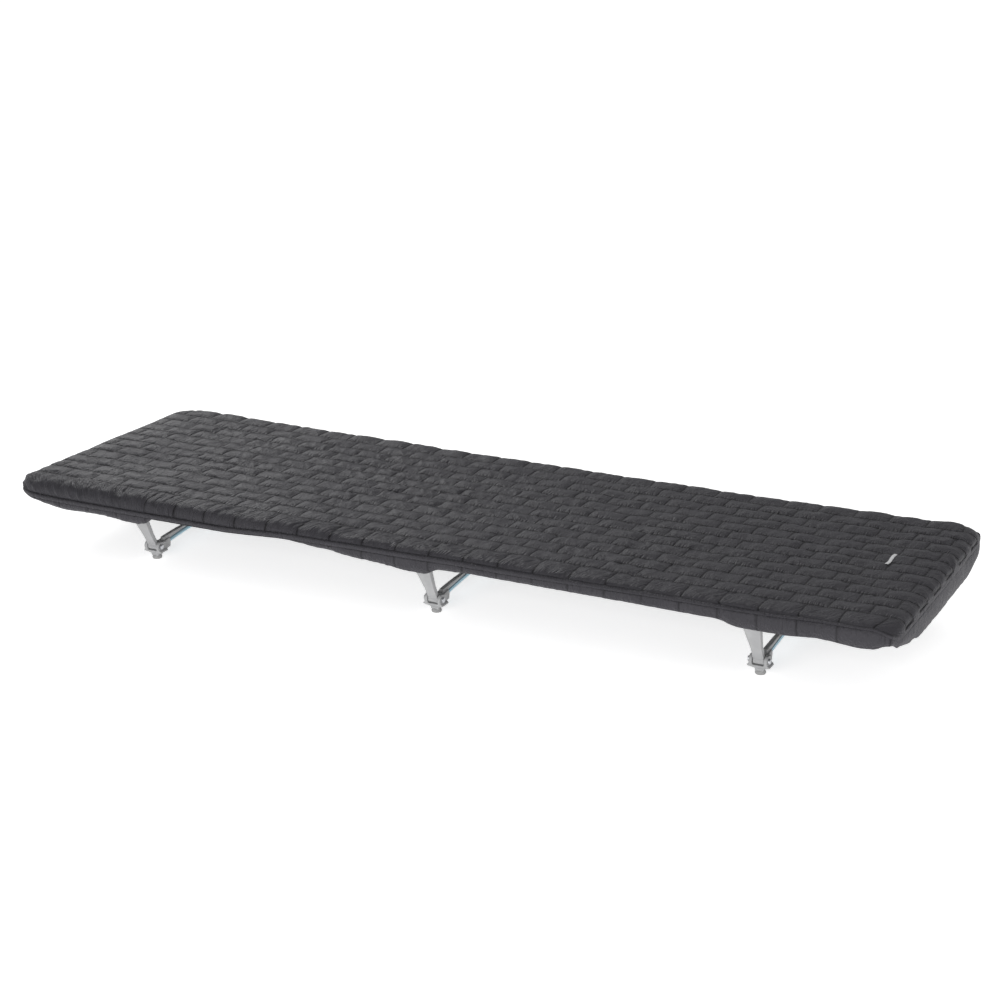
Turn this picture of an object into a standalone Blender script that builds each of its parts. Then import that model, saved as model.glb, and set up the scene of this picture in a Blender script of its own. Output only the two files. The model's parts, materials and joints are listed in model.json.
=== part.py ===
"""A padded quilt fitted over a low folding camp cot: a quilted top and a skirt with an elastic hem.

World axes: X runs along the bed, -Y is the near side, Z is up, and the feet stand on Z = 0.
The origin is on the ground under the middle of the bed. All sizes are in metres.
"""

import math

import bmesh
import bpy
from mathutils import Matrix, Vector

# Overall sizes of the fitted quilt
QUILT_LENGTH = 1.91
QUILT_WIDTH = 0.62
QUILT_THICKNESS = 0.0149
CORNER_RADIUS = 0.035

# Clearances
GAP = 0.0003
RUNNING_GAP = 0.0004

# Cot rails, each in three tubes that plug together. They lie this far inside the quilt's outside
RAIL_TO_SIDE = 0.025
RAIL_TO_END = 0.020
RAIL_Z = 0.143
RAIL_RADIUS = 0.008
RAIL_WALL = 0.001
SPIGOT_LENGTH = 0.040
SPIGOT_WALL = 0.0012
CAP_OVERLAP = 0.015
CAP_WALL = 0.0012
CAP_END = 0.003

# Cot bed cloth and the sleeves sewn along its sides
CLOTH = 0.001
SLEEVE_OVERLAP = 0.014
CRADLE_TO_SLING = 0.0014
NOTCH_ROOM = 0.0025
NOTCH_UNDER_TOP = 0.0008

# Quilt layers, from the cot upward
LINING = 0.0008
FACE_CLOTH = 0.0006
TOP_EDGE_RADIUS = 0.012
LABEL_SIZE = (0.008, 0.062, 0.0008)
LABEL_AT = (0.849, 0.035)

# Seam tape, skirt, hem binding and elastic, each measured inward from the quilt's outside
TAPE = 0.001
TAPE_HEIGHT = 0.013
SEAM_UNDER_LINING = 0.0014
SKIRT = 0.0016
SKIRT_DEPTH = 0.0202
SKIRT_INSET = 0.0015
ELASTIC = 0.0025
ELASTIC_HEIGHT = 0.006
BINDING = 0.001
BINDING_HEIGHT = 0.009
BINDING_INSET = 0.0002

# Where the skirt's lower edge hangs lower
END_HEM_DROP = 0.038
END_HEM_LEVEL_TO = 0.15
END_HEM_RUN_IN = 0.03
HEM_DIPS = (  # from the leg: start, lowest from, lowest to, end, depth
    (-0.270, -0.160, 0.030, 0.075, 0.020),
    (-0.270, -0.020, 0.020, 0.065, 0.016),
    (-0.060, -0.010, 0.215, 0.265, 0.008),
)

# Legs
LEG_SPACING = 0.6775
LEG_OFFSET = 0.009
LEG_NAMES = ("left", "middle", "right")
SIDE_NAMES = ("near", "far")
FOOT_TO_RAIL = 0.072
FOOT_RADIUS = 0.0105
FOOT_PAD_HEIGHT = 0.0072
PIVOT_OUT = 0.009
PIVOT_Z = 0.030
PIN_RADIUS = 0.0028
PIN_HEAD_RADIUS = 0.0055
PIN_HEAD = 0.0035
POLE_RADIUS = 0.0055
POLE_END_IN = 0.014
POLE_END_Z = 0.0228
POLE_RISE = 0.0157
POLE_POINTS = 8
FERRULE_LENGTH = 0.060
FERRULE_WALL = 0.0009
FERRULE_CLEARANCE = 0.0009
SOCKET_CLEARANCE = 0.0008
HUB_EAR = 0.0066
HUB_PRONG = 0.0045
HUB_EAR_RADIUS = 0.0105
HUB_INNER = 0.010
HUB_STEM = 0.0088
SOCKET_SIDE_WALL = 0.004
SOCKET_END = 0.036
SOCKET_WALL = 0.0045
TAIL_END = 0.112
TAIL_HEIGHT = 0.011
TAIL_TIP_HEIGHT = 0.005
ARM_HALF_WIDTH = 0.0108
ARM_TOP_HALF_WIDTH = 0.0170
ARM_HALF_THICKNESS = 0.0045
ARM_KNUCKLE = 0.008
ARM_FLARE_FROM = 0.035
ARM_FLARE_TO = 0.095
CRADLE_WALL = 0.004
CRADLE_FROM = math.radians(223)
CRADLE_TO = math.radians(388)

# Mesh fineness
ROUND_STEPS = 16
SMALL_ROUND_STEPS = 12
ARC_STEPS = 8
CORNER_STEPS = 4
SIDE_STEPS = 28
END_STEPS = 8
MERGE = 0.00001

# Lengths worked out from the sizes above
HALF_LENGTH = QUILT_LENGTH / 2
HALF_WIDTH = QUILT_WIDTH / 2
RAIL_Y = HALF_WIDTH - RAIL_TO_SIDE
RAIL_END = HALF_LENGTH - RAIL_TO_END
SLEEVE_END = RAIL_END - CAP_OVERLAP - 2 * GAP
FOOT_Y = RAIL_Y - FOOT_TO_RAIL
SLEEVE_RADIUS = RAIL_RADIUS + GAP + CLOTH / 2
SLEEVE_TOP = SLEEVE_RADIUS + CLOTH / 2
SLING_TOP = SLEEVE_TOP - CLOTH - GAP
CRADLE_INNER = RAIL_RADIUS + RUNNING_GAP
CRADLE_OUTER = CRADLE_INNER + CRADLE_WALL
SLING_EDGE = CRADLE_OUTER + CRADLE_TO_SLING
SLEEVE_FLANGE_START = SLING_EDGE + CLOTH + RUNNING_GAP / 2
LINING_Z = RAIL_Z + SLEEVE_TOP + GAP
QUILT_TOP_Z = LINING_Z + QUILT_THICKNESS
SEAM_Z = LINING_Z - SEAM_UNDER_LINING
HEM_Z = SEAM_Z - SKIRT_DEPTH
FACE_INSET = TAPE + GAP
FILL_INSET = FACE_INSET + FACE_CLOTH + GAP
EAR_SLOT = ARM_HALF_WIDTH + 2 * GAP
EAR_SIDE = EAR_SLOT + HUB_EAR
PRONG_SIDE = EAR_SIDE + HUB_PRONG
SOCKET_SIDE = POLE_RADIUS + SOCKET_SIDE_WALL


# ---------------------------------------------------------------- scene and materials


def clear_scene():
    for item in list(bpy.data.objects):
        bpy.data.objects.remove(item, do_unlink=True)


def new_collection(name):
    collection = bpy.data.collections.new(name)
    bpy.context.scene.collection.children.link(collection)
    return collection


FINISHES = {  # colour, roughness, metallic
    "charcoal_nylon": ((0.070, 0.068, 0.074), 0.62, 0.0),
    "batting": ((0.62, 0.62, 0.60), 0.95, 0.0),
    "lining_cloth": ((0.045, 0.045, 0.050), 0.75, 0.0),
    "elastic": ((0.030, 0.030, 0.032), 0.80, 0.0),
    "label_weave": ((0.62, 0.62, 0.63), 0.70, 0.0),
    "cot_cloth": ((0.050, 0.050, 0.055), 0.70, 0.0),
    "anodised_tube": ((0.36, 0.50, 0.58), 0.32, 0.85),
    "grey_moulding": ((0.40, 0.40, 0.41), 0.48, 0.0),
    "grey_rubber": ((0.30, 0.30, 0.31), 0.75, 0.0),
    "steel_pin": ((0.50, 0.51, 0.53), 0.30, 1.0),
}


def finish(name):
    if name in bpy.data.materials:
        return bpy.data.materials[name]
    colour, roughness, metallic = FINISHES[name]
    material = bpy.data.materials.new(name)
    material.use_nodes = True
    shader = material.node_tree.nodes["Principled BSDF"]
    shader.inputs["Base Color"].default_value = (*colour, 1.0)
    shader.inputs["Roughness"].default_value = roughness
    shader.inputs["Metallic"].default_value = metallic
    return material


clear_scene()
PARTS = new_collection("camp_quilt")
CUTTERS = new_collection("cutters")


# ---------------------------------------------------------------- modelling helpers


def joint_empty(name, location):
    """An empty on a joint's axis, which carries the pieces that the joint moves."""
    empty = bpy.data.objects.new(name, None)
    empty.location = location
    empty.empty_display_size = 0.03
    PARTS.objects.link(empty)
    return empty


def add_piece(name, mesh, kind, carrier=None, smooth=False):
    """Put a mesh in world coordinates into the model, with its origin at its carrier's."""
    mesh.materials.append(finish(kind))
    if smooth:
        mesh.shade_smooth()
        mesh.set_sharp_from_angle(angle=math.radians(35))
    piece = bpy.data.objects.new(name, mesh)
    PARTS.objects.link(piece)
    if carrier:
        mesh.transform(Matrix.Translation(-carrier.location))
        piece.parent = carrier
    return piece


def add_cutter(name, mesh):
    cutter = bpy.data.objects.new(name, mesh)
    cutter.display_type = "WIRE"
    cutter.hide_render = True
    CUTTERS.objects.link(cutter)
    return cutter


def boolean(mesh, operation, others):
    """Cut, join or intersect a mesh with other meshes, in the coordinates they share."""
    work = bpy.data.objects.new("work", mesh)
    CUTTERS.objects.link(work)
    for count, other in enumerate(others):
        modifier = work.modifiers.new(f"{operation.lower()}_{count}", "BOOLEAN")
        modifier.operation = operation
        modifier.solver = "EXACT"
        modifier.object = add_cutter("cutter", other)
    result = evaluated(work)
    bpy.data.objects.remove(work, do_unlink=True)
    return result


def evaluated(item):
    """The mesh that an object's modifiers or curve settings make, welded, in world coordinates."""
    graph = bpy.context.evaluated_depsgraph_get()
    graph.update()
    mesh = bpy.data.meshes.new_from_object(item.evaluated_get(graph))
    mesh.transform(item.matrix_world)
    bm = bmesh.new()
    bm.from_mesh(mesh)
    bmesh.ops.remove_doubles(bm, verts=bm.verts, dist=MERGE)
    bmesh.ops.dissolve_degenerate(bm, edges=bm.edges, dist=MERGE)
    bm.to_mesh(mesh)
    bm.free()
    mesh.materials.clear()
    return mesh


def plate(outline, thickness, axes):
    """A flat outline extruded to both sides of its plane. axes gives world axes for its x and y."""
    curve = bpy.data.curves.new("outline", "CURVE")
    curve.dimensions = "2D"
    curve.fill_mode = "BOTH"
    curve.extrude = thickness / 2
    spline = curve.splines.new("POLY")
    spline.points.add(len(outline) - 1)
    for point, (across, up) in zip(spline.points, outline):
        point.co = (across, up, 0, 1)
    spline.use_cyclic_u = True
    work = bpy.data.objects.new("outline", curve)
    CUTTERS.objects.link(work)
    mesh = evaluated(work)
    bpy.data.objects.remove(work, do_unlink=True)
    first, second = Vector(axes[0]), Vector(axes[1])
    turn = Matrix((first, second, first.cross(second))).transposed()
    mesh.transform(turn.to_4x4())
    return mesh


def turned(profile, steps, along=None):
    """A profile of (radius, height) points, outer side first and downward, turned about Z or X."""
    mesh = bpy.data.meshes.new("profile")
    points = [(radius, 0, height) for radius, height in profile]
    edges = [(count, count + 1) for count in range(len(points) - 1)]
    if profile[0][0] > MERGE:
        edges.append((len(points) - 1, 0))
    mesh.from_pydata(points, edges, [])
    work = bpy.data.objects.new("profile", mesh)
    CUTTERS.objects.link(work)
    screw = work.modifiers.new("turn", "SCREW")
    screw.steps = steps
    screw.render_steps = steps
    screw.use_merge_vertices = True
    screw.merge_threshold = MERGE
    result = evaluated(work)
    bpy.data.objects.remove(work, do_unlink=True)
    if along == "X":
        result.transform(Matrix.Rotation(math.pi / 2, 4, "Y"))
    if along == "Y":
        result.transform(Matrix.Rotation(-math.pi / 2, 4, "X"))
    return result


def block(low, high):
    """A box between two corners."""
    bm = bmesh.new()
    bmesh.ops.create_cube(bm, size=1)
    size = [high[axis] - low[axis] for axis in range(3)]
    middle = [(high[axis] + low[axis]) / 2 for axis in range(3)]
    bmesh.ops.scale(bm, vec=size, verts=bm.verts)
    bmesh.ops.translate(bm, vec=middle, verts=bm.verts)
    mesh = bpy.data.meshes.new("block")
    bm.to_mesh(mesh)
    bm.free()
    return mesh


def arc(centre, radius, start, end, steps=ARC_STEPS):
    """Points along a circle's arc, both ends included."""
    turns = [start + (end - start) * count / steps for count in range(steps + 1)]
    return [(centre[0] + radius * math.cos(t), centre[1] + radius * math.sin(t)) for t in turns]


def smooth_step(start, end, value):
    """Rises gently from 0 at start to 1 at end."""
    share = min(max((value - start) / (end - start), 0), 1)
    return share * share * (3 - 2 * share)


def leg_x(index):
    return LEG_OFFSET + (index - 1) * LEG_SPACING


# ---------------------------------------------------------------- quilt


def hem_height(x, y):
    """Height of the skirt's lower edge: it hangs lower by each leg, and lowest across the ends."""
    height = HEM_Z
    for index, (start, low_from, low_to, end, depth) in enumerate(HEM_DIPS):
        along = x - leg_x(index)
        height -= depth * smooth_step(start, low_from, along) * (1 - smooth_step(low_to, end, along))
    at_end = smooth_step(HALF_LENGTH - END_HEM_RUN_IN, HALF_LENGTH, abs(x))
    across = 1 - smooth_step(END_HEM_LEVEL_TO, HALF_WIDTH, abs(y))
    return height - END_HEM_DROP * at_end * across


def wall_frames():
    """Stations round the quilt's outside as (point, outward direction), from the near left corner."""
    straight = HALF_LENGTH - CORNER_RADIUS
    across = HALF_WIDTH - CORNER_RADIUS
    corners = ((straight, -across), (straight, across), (-straight, across), (-straight, -across))
    counts = (SIDE_STEPS, END_STEPS, SIDE_STEPS, END_STEPS)
    frames = []
    for turn, (corner, count) in enumerate(zip(corners, counts)):
        before = corners[turn - 1]
        facing = math.radians(90 * turn - 90)
        outward = Vector((math.cos(facing), math.sin(facing)))
        for step in range(count):
            share = step / count
            point = Vector(before).lerp(Vector(corner), share) + outward * CORNER_RADIUS
            frames.append((point, outward))
        for step in range(CORNER_STEPS):
            angle = facing + math.pi / 2 * step / CORNER_STEPS
            outward_here = Vector((math.cos(angle), math.sin(angle)))
            frames.append((Vector(corner) + outward_here * CORNER_RADIUS, outward_here))
    return frames


def panel_frames(first, count):
    """The stations of one skirt panel, its ends held clear of the next panels."""
    frames = wall_frames()
    frames = [frames[(first + step) % len(frames)] for step in range(count + 1)]
    ends = []
    for here, beside in ((0, 1), (-1, -2)):
        toward = (frames[beside][0] - frames[here][0]).normalized()
        ends.append((frames[here][0] + toward * GAP / 2, frames[here][1]))
    return [ends[0], *frames[1:-1], ends[1]]


def sewn_band(name, frames, closed, rows, thickness, kind, carrier):
    """A strip of cloth that follows the wall, thickened. rows gives (inset, height) at a point."""
    bm = bmesh.new()
    lines = []
    for point, outward in frames:
        line = []
        for inset, height in rows(point.x, point.y):
            place = point - outward * inset
            line.append(bm.verts.new((place.x, place.y, height)))
        lines.append(line)
    if closed:
        lines.append(lines[0])
    for here, beyond in zip(lines, lines[1:]):
        for row in range(len(here) - 1):
            bm.faces.new((here[row + 1], beyond[row + 1], beyond[row], here[row]))
    mesh = bpy.data.meshes.new(name)
    bm.to_mesh(mesh)
    bm.free()
    piece = add_piece(name, mesh, kind, carrier)
    solid = piece.modifiers.new("cloth", "SOLIDIFY")
    solid.thickness = thickness
    solid.offset = 0
    solid.use_even_offset = True
    return piece


def layer(name, inset, low, high, edge_radius, kind, carrier, skin=0):
    """A rounded sheet that fills the quilt's outline, less an inset. A skin leaves it open below."""
    straight = HALF_LENGTH - CORNER_RADIUS
    across = HALF_WIDTH - CORNER_RADIUS
    outline = []
    corners = ((straight, -across), (straight, across), (-straight, across), (-straight, -across))
    for turn, corner in enumerate(corners):
        start = math.radians(90 * turn - 90)
        outline += arc(corner, CORNER_RADIUS - inset, start, start + math.pi / 2, CORNER_STEPS)
    bm = bmesh.new()
    floor = bm.faces.new([bm.verts.new((x, y, low)) for x, y in outline])
    raised = bmesh.ops.extrude_face_region(bm, geom=[floor], use_keep_orig=True)
    top = [item for item in raised["geom"] if isinstance(item, bmesh.types.BMVert)]
    bmesh.ops.translate(bm, vec=(0, 0, high - low), verts=top)
    if skin:
        bm.faces.remove(floor)
    bmesh.ops.recalc_face_normals(bm, faces=bm.faces)
    rim = [edge for edge in bm.edges if all(vert.co.z > high - MERGE for vert in edge.verts)]
    if edge_radius:
        bmesh.ops.bevel(bm, geom=rim, offset=edge_radius, segments=3, profile=0.5, affect="EDGES")
    mesh = bpy.data.meshes.new(name)
    bm.to_mesh(mesh)
    bm.free()
    piece = add_piece(name, mesh, kind, carrier)
    if skin:
        solid = piece.modifiers.new("cloth", "SOLIDIFY")
        solid.thickness = skin
        solid.offset = -1
        solid.use_even_offset = True
    return piece


def make_quilt():
    lift = joint_empty("quilt_lift", (0, 0, LINING_Z))

    def tape_rows(x, y):
        middle = TAPE / 2
        return ((middle, SEAM_Z + TAPE_HEIGHT / 2), (middle, SEAM_Z - TAPE_HEIGHT / 2))

    def skirt_rows(x, y):
        low = hem_height(x, y) + BINDING + GAP
        top = SEAM_Z - GAP / 2
        middle = SKIRT_INSET + SKIRT / 2
        return ((middle, top), (middle, (low + top) / 2), (middle, low))

    elastic_inset = SKIRT_INSET + SKIRT + GAP
    inner_leaf = elastic_inset + ELASTIC + GAP + BINDING / 2

    def elastic_rows(x, y):
        low = hem_height(x, y) + BINDING + GAP
        middle = elastic_inset + ELASTIC / 2
        return ((middle, low + ELASTIC_HEIGHT), (middle, low))

    def binding_rows(x, y):
        fold = hem_height(x, y) + BINDING / 2
        outer_leaf = BINDING_INSET + BINDING / 2
        top = fold + BINDING_HEIGHT
        return ((outer_leaf, top), (outer_leaf, fold), (inner_leaf, fold), (inner_leaf, top))

    layer("quilt_lining", FILL_INSET, LINING_Z, LINING_Z + LINING, 0, "lining_cloth", lift)
    fill_top = QUILT_TOP_Z - FACE_CLOTH - GAP
    layer("quilt_insulation", FILL_INSET, LINING_Z + LINING + GAP, fill_top,
          TOP_EDGE_RADIUS - FACE_CLOTH, "batting", lift)
    layer("quilt_top_face", FACE_INSET, SEAM_Z + GAP / 2, QUILT_TOP_Z, TOP_EDGE_RADIUS,
          "charcoal_nylon", lift, skin=FACE_CLOTH)

    everywhere = wall_frames()
    end_count = END_STEPS + 2 * CORNER_STEPS
    panels = {
        "skirt_near": (0, SIDE_STEPS),
        "skirt_right_end": (SIDE_STEPS, end_count),
        "skirt_far": (SIDE_STEPS + end_count, SIDE_STEPS),
        "skirt_left_end": (2 * SIDE_STEPS + end_count, end_count),
    }
    for name, (first, count) in panels.items():
        frames = panel_frames(first, count)
        sewn_band(name, frames, False, skirt_rows, SKIRT, "charcoal_nylon", lift)
    sewn_band("seam_tape", everywhere, True, tape_rows, TAPE, "charcoal_nylon", lift)
    sewn_band("hem_elastic", everywhere, True, elastic_rows, ELASTIC, "elastic", lift)
    sewn_band("hem_binding", everywhere, True, binding_rows, BINDING, "charcoal_nylon", lift)

    low = Vector((*LABEL_AT, QUILT_TOP_Z + GAP)) - Vector((LABEL_SIZE[0], LABEL_SIZE[1], 0)) / 2
    add_piece("label_tab", block(low, low + Vector(LABEL_SIZE)), "label_weave", lift)


# ---------------------------------------------------------------- cot bed


def rail_section_mesh(length, spigot):
    """A tube along X from 0, with a thinner spigot bonded in its far end when it has one."""
    bore = RAIL_RADIUS - RAIL_WALL
    profile = [(RAIL_RADIUS, length), (RAIL_RADIUS, 0), (bore, 0)]
    if spigot:
        outer = bore - RUNNING_GAP
        inner = outer - SPIGOT_WALL
        profile += [(bore, length - SPIGOT_LENGTH), (inner, length - SPIGOT_LENGTH),
                    (inner, length + SPIGOT_LENGTH), (outer, length + SPIGOT_LENGTH),
                    (outer, length)]
    else:
        profile += [(bore, length)]
    return turned(profile, SMALL_ROUND_STEPS, along="X")


def cap_mesh():
    """A cup along X that closes a rail's end, with the rail's end at 0."""
    outer = RAIL_RADIUS + GAP + CAP_WALL
    inner = RAIL_RADIUS + GAP
    end = GAP + CAP_END
    edge = CAP_END / 2
    profile = [(0, end), (outer - edge, end), (outer, end - edge), (outer, -CAP_OVERLAP),
               (inner, -CAP_OVERLAP), (inner, GAP), (0, GAP)]
    return turned(profile, SMALL_ROUND_STEPS, along="X")


def sleeve_mesh(turn):
    """Cloth sewn round a rail and laid on both faces of the bed cloth, cut back at each leg."""
    radius = SLEEVE_RADIUS
    lower = SLING_TOP - CLOTH - GAP - CLOTH / 2
    flange_end = SLEEVE_FLANGE_START + SLEEVE_OVERLAP
    rise = ((radius + SLEEVE_FLANGE_START) / 2, lower / 2)
    outline = [(flange_end, radius), (radius / 2, radius)]
    outline += arc((0, 0), radius, math.pi / 2, 2 * math.pi, ARC_STEPS + 4)
    outline += [rise, (SLEEVE_FLANGE_START, lower), (flange_end, lower)]
    bm = bmesh.new()
    ends = [[bm.verts.new((x, inward - RAIL_Y, up + RAIL_Z)) for inward, up in outline]
            for x in (-SLEEVE_END, SLEEVE_END)]
    for point in range(len(outline) - 1):
        bm.faces.new((ends[0][point], ends[1][point], ends[1][point + 1], ends[0][point + 1]))
    open_sheet = bpy.data.meshes.new("sleeve")
    bm.to_mesh(open_sheet)
    bm.free()
    work = bpy.data.objects.new("sleeve", open_sheet)
    CUTTERS.objects.link(work)
    solid = work.modifiers.new("cloth", "SOLIDIFY")
    solid.thickness = CLOTH
    solid.offset = 0
    solid.use_even_offset = True
    mesh = evaluated(work)
    bpy.data.objects.remove(work, do_unlink=True)
    mesh.transform(Matrix.Rotation(turn, 4, "Z"))
    ceiling = RAIL_Z + SLEEVE_TOP - CLOTH - NOTCH_UNDER_TOP
    inner = -RAIL_Y + SLING_EDGE
    across = ARM_TOP_HALF_WIDTH + NOTCH_ROOM
    cutters = []
    for index in range(len(LEG_NAMES)):
        notch = block((-across, -RAIL_Y - 0.02, RAIL_Z - 0.02), (across, inner, ceiling))
        notch.transform(Matrix.Translation((leg_x(index), 0, 0)) @ Matrix.Rotation(turn, 4, "Z"))
        cutters.append(notch)
    return boolean(mesh, "DIFFERENCE", cutters)


def make_cot_bed():
    sections = len(LEG_NAMES)
    section = 2 * RAIL_END / sections
    for side, side_name in enumerate(SIDE_NAMES):
        y = RAIL_Y * (2 * side - 1)
        for index in range(sections):
            last = index == sections - 1
            mesh = rail_section_mesh(section - (0 if last else GAP), not last)
            start = index * section - RAIL_END
            mesh.transform(Matrix.Translation((start, y, RAIL_Z)))
            add_piece(f"{side_name}_rail_{LEG_NAMES[index]}", mesh, "anodised_tube", smooth=True)
        for end, end_name in ((-1, "left"), (1, "right")):
            mesh = cap_mesh()
            mesh.transform(Matrix.Rotation(0 if end > 0 else math.pi, 4, "Z"))
            mesh.transform(Matrix.Translation((end * RAIL_END, y, RAIL_Z)))
            add_piece(f"{side_name}_rail_cap_{end_name}", mesh, "grey_moulding", smooth=True)
        sleeve = sleeve_mesh(math.pi * side)
        add_piece(f"{side_name}_rail_sleeve", sleeve, "cot_cloth", smooth=True)
    top = RAIL_Z + SLING_TOP
    half = RAIL_Y - SLING_EDGE
    sling = block((-SLEEVE_END, -half, top - CLOTH), (SLEEVE_END, half, top))
    add_piece("bed_sling", sling, "cot_cloth")


# ---------------------------------------------------------------- legs

# A leg is modelled on the near side about its own middle plane, with "in" the distance from the
# foot toward the middle of the bed. The far side is the same pieces turned half a turn about Z.
IN_AND_UP = ((0, 1, 0), (0, 0, 1))
ALONG_AND_UP = ((1, 0, 0), (0, 0, 1))


def pole_height(y):
    """Height of the cross pole's middle line, a shallow bow between its two ends."""
    end = FOOT_Y - POLE_END_IN
    return POLE_END_Z + POLE_RISE * (1 - (y / end) ** 2)


def pole_mesh():
    """The near half of the cross pole."""
    curve = bpy.data.curves.new("pole", "CURVE")
    curve.dimensions = "3D"
    curve.bevel_depth = POLE_RADIUS
    curve.bevel_resolution = 3
    curve.use_fill_caps = True
    spline = curve.splines.new("POLY")
    spline.points.add(POLE_POINTS - 1)
    start = -(FOOT_Y - POLE_END_IN)
    for count, point in enumerate(spline.points):
        y = start + (-GAP - start) * count / (POLE_POINTS - 1)
        point.co = (0, y, pole_height(y), 1)
    work = bpy.data.objects.new("pole", curve)
    CUTTERS.objects.link(work)
    mesh = evaluated(work)
    bpy.data.objects.remove(work, do_unlink=True)
    return mesh


def ferrule_mesh():
    inner = POLE_RADIUS + FERRULE_CLEARANCE
    outer = inner + FERRULE_WALL
    half = FERRULE_LENGTH / 2
    profile = [(outer, half), (outer, -half), (inner, -half), (inner, half)]
    mesh = turned(profile, SMALL_ROUND_STEPS, along="Y")
    mesh.transform(Matrix.Translation((0, 0, pole_height(0))))
    return mesh


def foot_pad_mesh():
    tread = FOOT_RADIUS - 0.0010
    profile = [(0, FOOT_PAD_HEIGHT), (FOOT_RADIUS - 0.0015, FOOT_PAD_HEIGHT),
               (FOOT_RADIUS, 0.0030), (tread, 0), (0, 0)]
    mesh = turned(profile, ROUND_STEPS)
    mesh.transform(Matrix.Translation((0, -FOOT_Y, 0)))
    return mesh


def pin_mesh():
    """The rivet that an arm turns on, headed outside both ears."""
    ear = EAR_SIDE + GAP
    end = ear + PIN_HEAD
    profile = [(0, end), (PIN_HEAD_RADIUS - 0.001, end), (PIN_HEAD_RADIUS, end - 0.001),
               (PIN_HEAD_RADIUS, ear), (PIN_RADIUS, ear)]
    lower = [(radius, -height) for radius, height in reversed(profile)]
    mesh = turned(profile + lower, SMALL_ROUND_STEPS, along="X")
    mesh.transform(Matrix.Translation((0, -FOOT_Y - PIVOT_OUT, PIVOT_Z)))
    return mesh


def hub_mesh():
    """The moulded foot: a waisted stem, two flared ears for the arm, a pole socket and its rib."""
    neck = FOOT_PAD_HEIGHT + GAP
    pivot = (-PIVOT_OUT, PIVOT_Z)
    waist = neck + 0.005
    side = [(HUB_STEM, neck), (HUB_INNER, PIVOT_Z - 0.015), (HUB_INNER, PIVOT_Z + 0.006),
            (0.004, PIVOT_Z + 0.0085)]
    side += arc(pivot, HUB_EAR_RADIUS, math.radians(60), math.radians(205))
    side += [(-PIVOT_OUT - 0.007, PIVOT_Z - 0.011), (-HUB_STEM, waist), (-HUB_STEM, neck)]
    half_front = [(HUB_STEM, neck), (HUB_STEM, waist), (PRONG_SIDE, PIVOT_Z - 0.0125),
                  (PRONG_SIDE - 0.001, PIVOT_Z - 0.0095), (EAR_SIDE, PIVOT_Z - 0.0065),
                  (EAR_SIDE, PIVOT_Z + HUB_EAR_RADIUS + 0.0015)]
    front = half_front + [(-x, z) for x, z in reversed(half_front)]
    body = plate(side, 0.06, IN_AND_UP)
    body = boolean(body, "INTERSECT", [plate(front, 0.12, ALONG_AND_UP)])

    def at(inward):
        return pole_height(inward - FOOT_Y)

    reach = POLE_RADIUS + SOCKET_WALL
    socket = [(0.002, at(0.0) - reach + 0.002), (SOCKET_END, at(SOCKET_END) - reach),
              (SOCKET_END + 0.002, at(SOCKET_END)), (SOCKET_END, at(SOCKET_END) + reach),
              (0.002, at(0.0) + reach)]
    socket = plate(socket, 2 * SOCKET_SIDE, IN_AND_UP)

    rest = POLE_RADIUS + 2 * GAP
    steps = 5
    stations = [0.020 + (TAIL_END - 0.020) * count / steps for count in range(steps + 1)]
    under = [(inward, at(inward) + rest) for inward in stations]
    over = []
    for count, inward in enumerate(stations):
        height = TAIL_HEIGHT + (TAIL_TIP_HEIGHT - TAIL_HEIGHT) * count / steps
        over.append((inward, at(inward) + POLE_RADIUS + height))
    tail = plate(under + over[::-1], SOCKET_SIDE, IN_AND_UP)
    body = boolean(body, "UNION", [socket, tail])

    slot_floor = PIVOT_Z - ARM_KNUCKLE - 2 * GAP
    slot = block((-EAR_SLOT, -0.040, slot_floor), (EAR_SLOT, 0, PIVOT_Z + 0.030))
    hole = turned([(0, 0.04), (PIN_RADIUS + RUNNING_GAP, 0.04),
                   (PIN_RADIUS + RUNNING_GAP, -0.04), (0, -0.04)], SMALL_ROUND_STEPS, along="X")
    hole.transform(Matrix.Translation((0, *pivot)))
    bore = turned([(0, 0.06), (POLE_RADIUS + SOCKET_CLEARANCE, 0.06),
                   (POLE_RADIUS + SOCKET_CLEARANCE, 0), (0, 0)], SMALL_ROUND_STEPS, along="Y")
    start = POLE_END_IN - GAP
    slope = math.atan2(at(SOCKET_END) - at(start), SOCKET_END - start)
    bore.transform(Matrix.Rotation(slope, 4, "X"))
    bore.transform(Matrix.Translation((0, start, at(start))))
    body = boolean(body, "DIFFERENCE", [slot, hole, bore])
    body.transform(Matrix.Translation((0, -FOOT_Y, 0)))
    return body


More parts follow.
